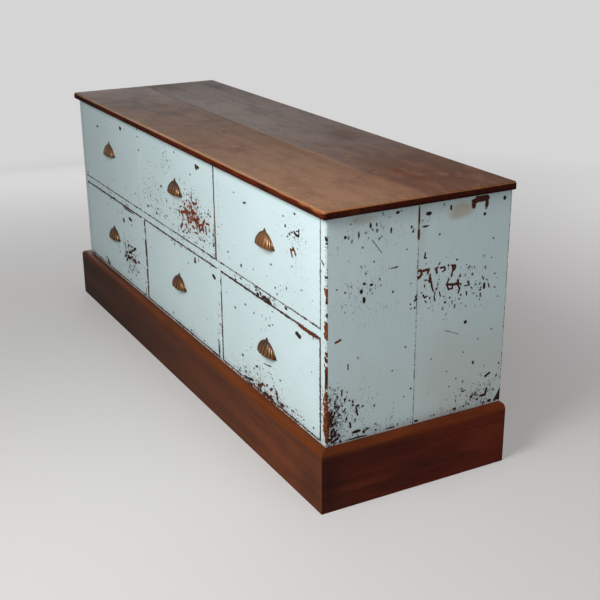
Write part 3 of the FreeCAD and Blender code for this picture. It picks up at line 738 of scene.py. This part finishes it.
def polished_mahogany(name, axis, start, end, start_colour, end_colour):
    """Dark mahogany whose colour goes from one place along an axis to another."""
    material, tree, shader, coordinates = new_material(name)
    along = add(tree, "Mapping", {"Vector": coordinates, "Scale": (0.08, 0.08, 1)}).outputs[0]
    pores, flames = [
        add(tree, "TexNoise", {"Vector": along, "Scale": 1 / size, "Detail": 3.0,
                               "Distortion": bend}).outputs[0]
        for size, bend in ((2 * mm, 0.0), (26 * mm, 1.2))]
    place = add(tree, "SeparateXYZ", {0: coordinates}).outputs[axis]
    share = add(tree, "MapRange", {"Value": place, "From Min": start, "From Max": end}).outputs[0]
    colour = add(tree, "Mix", {0: share, 6: linear(start_colour), 7: linear(end_colour)},
                 data_type="RGBA").outputs[2]
    flame, deep, pore = [
        add(tree, "MapRange", {"Value": pattern, "From Min": low, "From Max": high,
                               "To Max": most}).outputs[0]
        for pattern, low, high, most in (
            (flames, 0.48, 0.72, 0.35), (flames, 0.5, 0.3, 0.5), (pores, 0.5, 0.75, 0.4))]
    marks = [add(tree, "Attribute", attribute_name=mark).outputs["Fac"]
             for mark in ("glow", "shade", "crest_highlight")]
    glow, shade, crest_highlight = [
        add(tree, "Math", {0: mark, 1: flames}, operation="MULTIPLY").outputs[0] for mark in marks]
    for share, tone in ((flame, "#6C3018"), (deep, "#200A06"), (glow, "#7E3A1E"),
                        (shade, "#180806"), (pore, "#240D09"), (crest_highlight, "#6E3614")):
        colour = add(tree, "Mix", {0: share, 6: colour, 7: linear(tone)}, data_type="RGBA").outputs[2]
    tree.links.new(colour, shader.inputs["Base Color"])
    shader.inputs["Roughness"].default_value = 0.48
    shader.inputs["Specular IOR Level"].default_value = 0.08
    bump = add(tree, "Bump", {"Height": pores, "Strength": 0.3, "Distance": 0.15 * mm}).outputs[0]
    tree.links.new(bump, shader.inputs["Normal"])
    return material


# Very dark at the left and a glowing red-brown at the right, where the window lights it
front_mahogany = polished_mahogany("waxed mahogany, front", "X", -0.75, 0.75, "#321A10", "#64300F")

# Deeper and redder than the front
end_mahogany = polished_mahogany("waxed mahogany, ends", "Y", -0.25, 0.2, "#44150C", "#5E1E0C")

# Lighter and darker places of the outer faces, and where and how softly the painted highlight on the rounded
# crest begins
plinth_marks = {
    "plinth_front": {
        "glow": [(615, 58, 370, 26, 0.7), (250, 70, 300, 24, 0.4), (740, 100, 160, 30, 0.5)],
        "shade": [(790, 60, 90, 120, 0.8), (-300, 60, 500, 60, 0.5), (350, 110, 200, 30, 0.4)]},
    "plinth_right": {
        "glow": [(-145, 50, 130, 20, 0.8), (200, 85, 100, 50, 0.5)],
        "shade": [(-235, 80, 50, 150, 1.0), (-75, 118, 150, 40, 0.7), (60, 60, 120, 60, 0.4)]},
    "plinth_left": {
        "glow": [(-100, 60, 150, 24, 0.7), (120, 100, 120, 30, 0.5)],
        "shade": [(-220, 80, 60, 150, 0.8)]}}
crest_foot = 137
crest_fade = 5
quarter_round = 13 * mm
plinth_cell = 8 * mm
plinth_low, plinth_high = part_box("plinth_front")
for node, outward, finish in (("plinth_front", front, front_mahogany), ("plinth_right", right, end_mahogany),
                              ("plinth_left", left, end_mahogany)):
    moulding = block(*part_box(node))
    bmesh.ops.bevel(moulding, geom=arris_between(moulding, outward, up), offset=quarter_round,
                    affect="EDGES", segments=8, profile=0.5, material=-1)
    for end in ((left, right) if outward == front else (outward,)):
        corner = Vector((end.x * plinth_high.x, plinth_low.y, 0))
        past_mitre = end + back if outward == front else front - end
        geometry = moulding.verts[:] + moulding.edges[:] + moulding.faces[:]
        cut = bmesh.ops.bisect_plane(moulding, geom=geometry, dist=1e-6, plane_co=corner,
                                     plane_no=past_mitre, clear_outer=True)
        rim = [item for item in cut["geom_cut"] if isinstance(item, bmesh.types.BMEdge)]
        bmesh.ops.edgeloop_fill(moulding, edges=rim)
    bmesh.ops.recalc_face_normals(moulding, faces=moulding.faces)
    divide(moulding, [outward], plinth_cell)
    piece = make_piece("waxed_" + node, moulding, [finish], [outward])
    places = places_of(piece)
    across = places[:, 0 if outward == front else 1]
    for kind, marks in plinth_marks[node].items():
        store(piece, kind, spots(across, places[:, 2], marks, soft=0.8))
    # Painted highlight: the rounded crest, which faces up to the light, is lighter
    store(piece, "crest_highlight", numpy.clip((places[:, 2] - crest_foot) / crest_fade, 0, 1))
    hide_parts(node)
    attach(piece, "carcass")

# The drawer boxes
# Sides dovetailed into the front, a back let into the sides and a thin bottom in grooves, all of
# pine that has gone brown inside.

drawers = [row + "_" + column for row in ("upper", "lower") for column in ("left", "middle", "right")]
for drawer in drawers:
    finish_node(drawer + "_drawer_left_side", lengthwise_pine)
    finish_node(drawer + "_drawer_right_side", lengthwise_pine)
    finish_node(drawer + "_drawer_back", level_pine)
    finish_node(drawer + "_drawer_bottom", level_pine)

# The drawer fronts
# Six flush boards with the same blue paint, brushed from side to side and chipped where things
# have knocked them; the arrises are worn by the openings they slide in, and the bare wood along them is
# widened to stand in as painted shade in the gaps.

# The wear of the six fronts; across is x
front_marks = {
    "upper_right": {
        "chips": [
            (683, 658, 10, 4), (629, 640, 8, 4), (639, 620, 8, 8), (667, 612, 8, 5, 0.6),
            (668, 533, 7, 4), (565, 508, 8, 4), (712, 491, 10, 3), (641, 473, 5, 8), (585, 457, 7, 6),
            (594, 444, 7, 5), (541, 472, 7, 4, 0.7), (471, 468, 7, 5, 0.8), (403, 458, 9, 9),
            (328, 472, 9, 5), (335, 458, 6, 5, 0.55), (369, 500, 8, 5, 0.5), (430, 623, 16, 4),
            (372, 635, 18, 3, 0.7), (582, 637, 8, 3, 0.5), (296, 535, 10, 5, 0.45)],
        "scrapes": [
            (681, 617, 688, 612, 6), (688, 612, 700, 612, 7), (702, 614, 703, 628, 5),
            (690, 621, 702, 623, 3), (663, 571, 670, 559, 7), (676, 578, 686, 566, 7),
            (665, 570, 677, 576, 5), (425, 621, 438, 626, 3), (646, 597, 652, 599, 3)],
        "spatter": [(685, 600, 90, 110, 0.35), (600, 465, 420, 70, 0.12), (400, 630, 200, 40, 0.08)],
        "fresh": [(672, 560, 60, 50, 0.7)]},
    "lower_right": {
        "chips": [
            (691, 379, 18, 12), (700, 377, 18, 12), (421, 362, 10, 5), (469, 355, 9, 8, 0.6),
            (361, 334, 8, 7), (337, 351, 8, 4, 0.55), (312, 358, 10, 4, 0.5), (512, 363, 5, 12, 0.5),
            (533, 362, 5, 14, 0.5), (555, 370, 6, 14, 0.5), (551, 351, 12, 4), (568, 392, 8, 3),
            (568, 358, 8, 3), (757, 311, 8, 7, 0.5), (603, 229, 8, 5), (522, 241, 9, 3),
            (538, 243, 12, 3), (551, 246, 8, 3), (399, 218, 11, 6), (420, 238, 6, 5, 0.7),
            (478, 216, 8, 4), (462, 206, 8, 4), (480, 198, 9, 4), (494, 219, 6, 5, 0.8),
            (562, 217, 6, 4, 0.8), (568, 200, 8, 4), (416, 190, 9, 4, 0.8), (532, 187, 9, 6),
            (556, 186, 10, 9), (585, 182, 6, 15), (495, 171, 15, 9), (506, 180, 6, 9), (445, 169, 14, 8),
            (414, 163, 14, 7), (612, 167, 10, 9), (530, 164, 20, 6), (552, 164, 16, 6),
            (637, 175, 8, 6, 0.8), (668, 176, 6, 6), (690, 176, 10, 3), (681, 186, 6, 4),
            (381, 175, 8, 5), (470, 186, 160, 60, 0.3), (560, 176, 200, 40, 0.33),
            (740, 402, 100, 7, 0.9)],
        "scrapes": [
            (520, 240, 530, 242, 2.5), (534, 242, 556, 247, 3), (583, 190, 587, 171, 8),
            (483, 167, 501, 176, 8), (500, 175, 510, 183, 7), (516, 161, 562, 161, 7),
            (549, 182, 560, 190, 7), (405, 163, 431, 165, 5), (435, 165, 455, 171, 6),
            (528, 186, 535, 190, 5), (605, 165, 616, 169, 8), (474, 215, 482, 219, 4)],
        "spatter": [
            (530, 168, 400, 46, 0.5), (520, 210, 260, 110, 0.2), (540, 355, 180, 60, 0.14),
            (740, 402, 120, 16, 0.5), (540, 404, 520, 8, 0.3)],
        "fresh": [(745, 402, 120, 14, 0.7), (545, 178, 160, 40, 0.35)]},
    "upper_middle": {
        "chips": [
            (145, 653, 16, 10), (157, 652, 17, 8), (147, 648, 15, 10), (-1, 661, 8, 6), (-83, 642, 7, 5),
            (-83, 633, 6, 4), (-53, 617, 6, 5, 0.5), (-5, 615, 6, 5, 0.5), (-85, 608, 6, 4, 0.5),
            (104, 622, 8, 6), (207, 607, 6, 4, 0.5), (-112, 542, 30, 12, 0.45), (-201, 494, 8, 24, 0.48),
            (-74, 507, 6, 5), (-51, 492, 6, 5), (-227, 457, 13, 9), (-157, 452, 15, 7), (-133, 455, 6, 4),
            (-166, 465, 6, 4), (-35, 450, 7, 5), (61, 509, 14, 11), (76, 494, 9, 8), (109, 521, 12, 9),
            (138, 502, 12, 10), (153, 494, 8, 7), (176, 498, 12, 8), (197, 488, 9, 7), (207, 513, 8, 6),
            (99, 533, 10, 7), (122, 548, 10, 6), (134, 551, 8, 5), (105, 561, 7, 5), (57, 530, 8, 6),
            (72, 544, 7, 5), (90, 563, 6, 4), (42, 494, 8, 7), (17, 500, 8, 6), (31, 466, 13, 9),
            (25, 459, 12, 8), (109, 482, 9, 6), (134, 469, 10, 6), (180, 459, 8, 5), (76, 463, 8, 6, 0.6),
            (60, 441, 5, 4), (120, 440, 6, 4), (172, 442, 5, 4), (43, 505, 26, 7, 0.7),
            (66, 508, 20, 7, 0.7), (113, 518, 14, 10, 0.8), (118, 501, 26, 10, 0.7),
            (144, 501, 24, 10, 0.7), (176, 504, 9, 20, 0.8), (168, 490, 12, 9, 0.7),
            (110, 505, 190, 60, 0.4), (110, 505, 220, 90, 0.35), (251, 475, 7, 90, 0.75)],
        "scrapes": [
            (5, 503, 22, 501, 4), (15, 500, 17, 488, 4), (22, 515, 34, 519, 4), (30, 500, 61, 511, 8),
            (57, 515, 88, 513, 7), (38, 498, 43, 484, 6), (34, 482, 36, 467, 5), (34, 468, 23, 456, 8),
            (53, 528, 61, 534, 4), (68, 542, 74, 546, 4), (72, 506, 78, 486, 10), (92, 488, 99, 500, 6),
            (99, 536, 105, 534, 5), (105, 567, 107, 555, 6), (109, 550, 120, 544, 7),
            (118, 544, 142, 553, 5), (103, 526, 128, 521, 8), (105, 521, 111, 507, 8),
            (108, 500, 134, 505, 9), (130, 500, 138, 489, 9), (138, 509, 153, 513, 7),
            (147, 500, 155, 482, 10), (105, 480, 117, 478, 8), (118, 467, 132, 469, 4),
            (155, 496, 170, 501, 6), (172, 499, 178, 488, 11), (178, 504, 188, 517, 9),
            (193, 501, 197, 484, 9), (197, 511, 216, 513, 5), (216, 503, 219, 497, 5),
            (222, 538, 230, 538, 4), (176, 459, 184, 461, 4), (65, 451, 78, 463, 3),
            (120, 512, 124, 498, 6), (48, 520, 66, 517, 5), (160, 484, 168, 488, 5)],
        "spatter": [
            (105, 510, 230, 130, 0.5), (70, 452, 260, 60, 0.35), (-160, 490, 240, 130, 0.33),
            (-190, 560, 160, 90, 0.2), (246, 480, 26, 120, 0.5), (-60, 620, 160, 80, 0.24),
            (140, 610, 160, 80, 0.12), (-80, 530, 200, 80, 0.14), (0, 560, 500, 220, 0.07)],
        "fresh": [(110, 510, 250, 130, 0.8), (252, 510, 16, 160, 0.7), (150, 652, 30, 14, 0.2)]},
    "lower_middle": {
        "chips": [
            (232, 379, 16, 10), (238, 376, 17, 11), (112, 383, 14, 9), (116, 393, 5, 10), (64, 365, 6, 5),
            (13, 332, 7, 5, 0.5), (-222, 332, 7, 5, 0.5), (65, 167, 8, 6), (153, 168, 8, 6),
            (-68, 176, 8, 6), (-258, 290, 6, 220, 0.6), (251, 182, 7, 55, 0.75), (180, 240, 6, 4, 0.6),
            (-150, 200, 7, 4, 0.6)],
        "scrapes": [(108, 392, 118, 384, 5), (136, 398, 137, 390, 4)],
        "spatter": [(110, 170, 260, 40, 0.25), (0, 400, 500, 14, 0.3), (250, 190, 20, 80, 0.4)],
        "fresh": [(112, 385, 18, 16, 0.5), (-262, 280, 12, 240, 0.5)]},
    "upper_left": {
        "chips": [
            (-429, 650, 18, 12), (-649, 619, 17, 7), (-578, 626, 7, 5, 0.5), (-785, 440, 8, 6, 0.5),
            (-520, 470, 8, 5, 0.6), (-330, 470, 7, 6), (-700, 500, 6, 4, 0.6)],
        "scrapes": [(-790, 443, -780, 438, 3)],
        "spatter": [(-450, 640, 260, 60, 0.15), (-540, 450, 500, 50, 0.12)]},
    "lower_left": {
        "chips": [
            (-396, 375, 20, 10), (-384, 374, 19, 11), (-450, 357, 14, 16), (-380, 358, 8, 6),
            (-597, 376, 8, 5), (-495, 375, 8, 4, 0.55), (-453, 278, 6, 20, 0.6), (-416, 284, 9, 7),
            (-372, 282, 9, 7), (-403, 267, 9, 6), (-445, 242, 8, 6), (-426, 240, 9, 6),
            (-376, 246, 28, 9), (-334, 251, 9, 7), (-440, 228, 8, 6), (-395, 209, 8, 6),
            (-349, 215, 8, 6), (-507, 238, 8, 5), (-634, 175, 9, 8), (-630, 165, 18, 9),
            (-395, 245, 130, 90, 0.28), (-400, 400, 120, 6, 0.7)],
        "scrapes": [
            (-430, 275, -417, 286, 6), (-422, 259, -395, 267, 8), (-403, 284, -388, 286, 5),
            (-395, 271, -372, 280, 6), (-372, 284, -357, 288, 8), (-463, 234, -445, 244, 6),
            (-449, 225, -430, 242, 7), (-434, 244, -415, 244, 8), (-418, 242, -388, 253, 5),
            (-388, 244, -363, 244, 10), (-343, 251, -326, 251, 5), (-457, 282, -451, 267, 5),
            (-399, 209, -388, 209, 4), (-353, 217, -340, 215, 4), (-640, 170, -622, 163, 6)],
        "spatter": [
            (-400, 245, 170, 120, 0.42), (-630, 168, 80, 30, 0.4), (-430, 380, 160, 50, 0.25),
            (-540, 402, 500, 12, 0.3)],
        "fresh": [(-380, 245, 40, 20, 0.4)]}}

# The mm of paint gone along the left, right, lower and upper arris of each, part wear and part painted shade
# of the gaps; at -1 it is sound
front_arrises = {"upper_right": (-1, 1.4, 0.9, -1), "lower_right": (2.4, 4.4, 1.8, 2.4),
                 "upper_middle": (-1, 3.4, 1.3, -1), "lower_middle": (4.2, -1, 2.6, 1.6),
                 "upper_left": (-1, -1, 0.7, -1), "lower_left": (-1, -1, 1.8, 1.8)}

# A worn side leaves the dovetails a little proud; a sound one has paint that fills its gap
tail_proud = 0.1 * mm
paint_build = 0.9 * mm
for drawer in drawers:
    node = drawer + "_drawer_front"
    low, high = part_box(node)
    low.x += tail_proud if front_arrises[drawer][0] > 0 else -paint_build
    high.x -= tail_proud if front_arrises[drawer][1] > 0 else -paint_build
    piece = make_piece("painted_" + node, board(low, high), [level_paint, level_wood], [front])
    wear(piece, 0, front_marks[drawer], front_arrises[drawer], front)
    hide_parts(node)
    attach(piece, drawer + "_drawer")

# The pulls
# Six shell cup pulls pressed from thin brass, fluted like a scallop, with a pointed tab at the
# top and at each lower corner. Three small pins hold each; hands have rubbed the flutes bright.

# Dark brown metal with a gold glint along the flutes, evener and browner where lacquer is left, and lighter
# on the upper right pull as painted light
aged_brass, tree, shader, coordinates = new_material("pressed brass, browned and rubbed")
blotches = add(tree, "TexNoise", {"Vector": coordinates, "Scale": 1 / (7 * mm), "Detail": 3.0}).outputs[0]
ridge, lacquer_and_light = [add(tree, "Attribute", attribute_name=mark).outputs["Fac"]
                  for mark in ("ridge", "lacquer_and_light")]
rubbing = add(tree, "Math", {0: blotches, 1: 0.7, 2: ridge}, operation="MULTIPLY_ADD").outputs[0]
rubbing = add(tree, "MapRange", {"Value": rubbing, "From Min": 0.7, "From Max": 1.25}).outputs[0]
evened = add(tree, "MapRange", {"Value": rubbing, "To Min": 0.4}).outputs[0]
lacquer_and_light = add(tree, "Math", {0: lacquer_and_light, 1: evened}, operation="MULTIPLY").outputs[0]
brass_colour = linear("#180B03")
for share, tone in ((blotches, "#4E2C0E"), (rubbing, "#8C5A24"), (lacquer_and_light, "#9A663A")):
    brass_colour = add(tree, "Mix", {0: share, 6: brass_colour, 7: linear(tone)},
                       data_type="RGBA").outputs[2]
tree.links.new(brass_colour, shader.inputs["Base Color"])
shader.inputs["Metallic"].default_value = 0.5
shader.inputs["Coat Weight"].default_value = 0.45
shader.inputs["Coat Roughness"].default_value = 0.12
dullness = add(tree, "MapRange", {"Value": rubbing, "To Min": 0.55, "To Max": 0.3}).outputs[0]
tree.links.new(dullness, shader.inputs["Roughness"])

shell_half_width = 44 * mm
shell_depth = 17 * mm
shell_height = 35.5 * mm
shell_wall = 1.6 * mm
shell_squareness = 0.25
flutes = 9
flute_rise = 1.2 * mm
tab_inside = shell_half_width - 6 * mm
tab_reach = 49.5 * mm
tab_height = 10.5 * mm
tip_foot = shell_height - 2 * mm
tip_height = 43 * mm
tip_half = 8 * mm
# Painted light on the upper right pull, the nearest to the window; lacquer left on the upper left one
lacquer_and_light_by_pull = {"upper_right": 0.75, "upper_left": 0.3}


def depth_at(share):
    """How far the shell stands out at a share of its height."""
    return shell_depth * (0.88 - 0.4 * share ** 1.5)


def tab(mesh, outline):
    """A flat pointed tab against the drawer front."""
    verts = [mesh.verts.new((x, 0, z)) for x, z in outline]
    face = mesh.faces.new(verts)
    grown = bmesh.ops.extrude_face_region(mesh, geom=[face])["geom"]
    moved = [item for item in grown if isinstance(item, bmesh.types.BMVert)]
    bmesh.ops.translate(mesh, vec=front * shell_wall, verts=moved)


for drawer in drawers:
    node = drawer + "_pull"
    low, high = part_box(node)
    lip = Vector(((low.x + high.x) / 2, high.y, low.z))
    shell = bmesh.new()
    bmesh.ops.create_uvsphere(shell, u_segments=216, v_segments=40, radius=1.0)
    for cut in (front, up):
        geometry = shell.verts[:] + shell.edges[:] + shell.faces[:]
        bmesh.ops.bisect_plane(shell, geom=geometry, dist=1e-6, plane_co=(0, 0, 0), plane_no=cut,
                               clear_inner=True)
    for vert in shell.verts:
        turn = math.atan2(-vert.co.y, vert.co.x) - math.pi / 2
        level = math.hypot(vert.co.x, vert.co.y)
        rise = flute_rise * level * (2 * abs(math.cos(flutes * turn)) - 1)
        depth = depth_at(vert.co.z)
        vert.co.x *= level ** shell_squareness
        vert.co.y *= level ** shell_squareness
        outward = Vector((vert.co.x / shell_half_width, vert.co.y / shell_depth, 0))
        if outward.length > 1e-6:
            outward.normalize()
        vert.co = Vector((vert.co.x * shell_half_width, vert.co.y * depth,
                          vert.co.z * shell_height)) + outward * rise
    bmesh.ops.recalc_face_normals(shell, faces=shell.faces)
    bmesh.ops.solidify(shell, geom=shell.faces[:], thickness=shell_wall)
    tab(shell, [(-tip_half, tip_foot), (tip_half, tip_foot), (tip_half * 0.4, tip_height - 3 * mm),
                (0, tip_height), (-tip_half * 0.4, tip_height - 3 * mm)])
    for way in (-1, 1):
        tab(shell, [(way * tab_inside, 0), (way * (tab_reach - mm), 0), (way * tab_reach, 2 * mm),
                    (way * (shell_half_width - 1.2 * mm), tab_height), (way * tab_inside, tab_height)])
    bmesh.ops.recalc_face_normals(shell, faces=shell.faces)
    bmesh.ops.translate(shell, vec=lip, verts=shell.verts)
    piece = make_piece("shell_" + node, shell, [aged_brass], [front])
    points = places_of(piece) * mm - numpy.array(lip)
    depth = depth_at(numpy.clip(points[:, 2] / shell_height, 0, 1))
    turn = numpy.arctan2(-points[:, 1] / depth, points[:, 0] / shell_half_width) - math.pi / 2
    level = numpy.hypot(points[:, 0] / shell_half_width, points[:, 1] / depth)
    on_shell = (points[:, 2] < shell_height - mm) & (abs(points[:, 0]) < shell_half_width - mm)
    store(piece, "ridge", numpy.clip(level, 0, 1) * numpy.abs(numpy.cos(flutes * turn)) ** 1.2 * on_shell)
    store(piece, "lacquer_and_light", numpy.full(len(points), lacquer_and_light_by_pull.get(drawer, 0.0)))
    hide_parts(node)
    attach(piece, drawer + "_drawer")
    finish_node(drawer + "_pull_pins", aged_brass)

# The floor
# A plain pale floor that carries the chest's shadow and fades to the pale room further off.

# How far from the middle of the chest the floor begins to fade and has faded, and its half width
clear_to = 0.7
faded_from = 3.0
floor_half = 60
room_colour = linear("#D6D5D5")

# An even pale grey under the chest that runs into the room's own colour with no horizon
floor_material, tree, shader, coordinates = new_material("pale matt floor")
shader.inputs["Base Color"].default_value = linear("#D8D4CF")
shader.inputs["Roughness"].default_value = 0.9
distance = add(tree, "VectorMath", {0: coordinates}, operation="LENGTH").outputs["Value"]
far = add(tree, "MapRange", {"Value": distance, "From Min": clear_to, "From Max": faded_from,
                             "To Min": 0.3, "To Max": 1.0}).outputs[0]
seen = add(tree, "LightPath").outputs["Is Camera Ray"]
share = add(tree, "Math", {0: far, 1: seen}, operation="MULTIPLY").outputs[0]
pale = add(tree, "Emission", {"Color": room_colour, "Strength": 1.0}).outputs[0]
floor_finish = add(tree, "MixShader", {0: share, 1: shader.outputs[0], 2: pale}).outputs[0]
tree.links.new(floor_finish, tree.nodes["Material Output"].inputs["Surface"])
floor_mesh = bmesh.new()
bmesh.ops.create_grid(floor_mesh, x_segments=2, y_segments=2, size=floor_half)
floor = make_piece("floor", floor_mesh, [floor_material], [up])
floor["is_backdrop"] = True

# The light
# Soft window light falls on the front from its right-hand part; the right-hand end is in shade.

world = bpy.data.worlds.new("room")
bpy.context.scene.world = world
world.use_nodes = True
tree = world.node_tree
room = tree.nodes["Background"]
room.inputs["Color"].default_value = room_colour

# The room is at full strength where the camera sees it, weaker in reflections, and gives little light
rays = add(tree, "LightPath")
clear = add(tree, "Math", {0: rays.outputs["Is Glossy Ray"], 1: 0.6}, operation="MULTIPLY").outputs[0]
clear = add(tree, "Math", {0: rays.outputs["Is Camera Ray"], 1: clear}, operation="MAXIMUM").outputs[0]
strength = add(tree, "MapRange", {"Value": clear, "To Min": 0.08, "To Max": 1.0}).outputs[0]
tree.links.new(strength, room.inputs["Strength"])

for name, place, aim, width, height, watts, colour in (
        ("window", (1.05, -1.45, 1.7), (0.45, -0.2, 0.35), 0.9, 0.9, 43, "#F6F8FA"),
        ("room light", (2.7, 0.7, 1.6), (0.7, 0.0, 0.35), 1.4, 1.4, 10, "#F0F3F8"),
        ("left light", (-2.7, 0.4, 0.5), (-0.8, 0.0, 0.4), 1.6, 0.7, 14, "#F4F4FA"),
        ("back light", (0.0, 2.7, 0.5), (0.0, 0.2, 0.4), 2.0, 0.7, 18, "#F4F4FA")):
    lamp = bpy.data.lights.new(name, "AREA")
    lamp.shape = "RECTANGLE"
    lamp.size = width
    lamp.size_y = height
    lamp.energy = watts
    lamp.color = linear(colour)[:3]
    holder = bpy.data.objects.new(name, lamp)
    holder.location = place
    holder.rotation_euler = (Vector(aim) - Vector(place)).to_track_quat("-Z", "Y").to_euler()
    bpy.context.scene.collection.objects.link(holder)

# The camera
# It stands off the right-hand end and a little to the front, and looks down on the chest.

camera_place = Vector((2.6729, -1.2932, 1.3054))
azimuth = math.radians(61.62)
downward = math.radians(20.57)
roll = math.radians(-0.505)
camera = bpy.data.objects.new("camera", bpy.data.cameras.new("camera"))
camera.data.lens = 64.73
camera.data.sensor_width = 36
backward = Vector((math.sin(azimuth) * math.cos(downward), -math.cos(azimuth) * math.cos(downward),
                   math.sin(downward)))
level_turn = (-backward).to_track_quat("-Z", "Y")
camera.matrix_world = (Matrix.Translation(camera_place) @ level_turn.to_matrix().to_4x4()
                       @ Matrix.Rotation(roll, 4, "Z"))
bpy.context.scene.collection.objects.link(camera)
bpy.context.scene.camera = camera
bpy.context.scene.view_settings.view_transform = "Standard"

low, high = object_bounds()
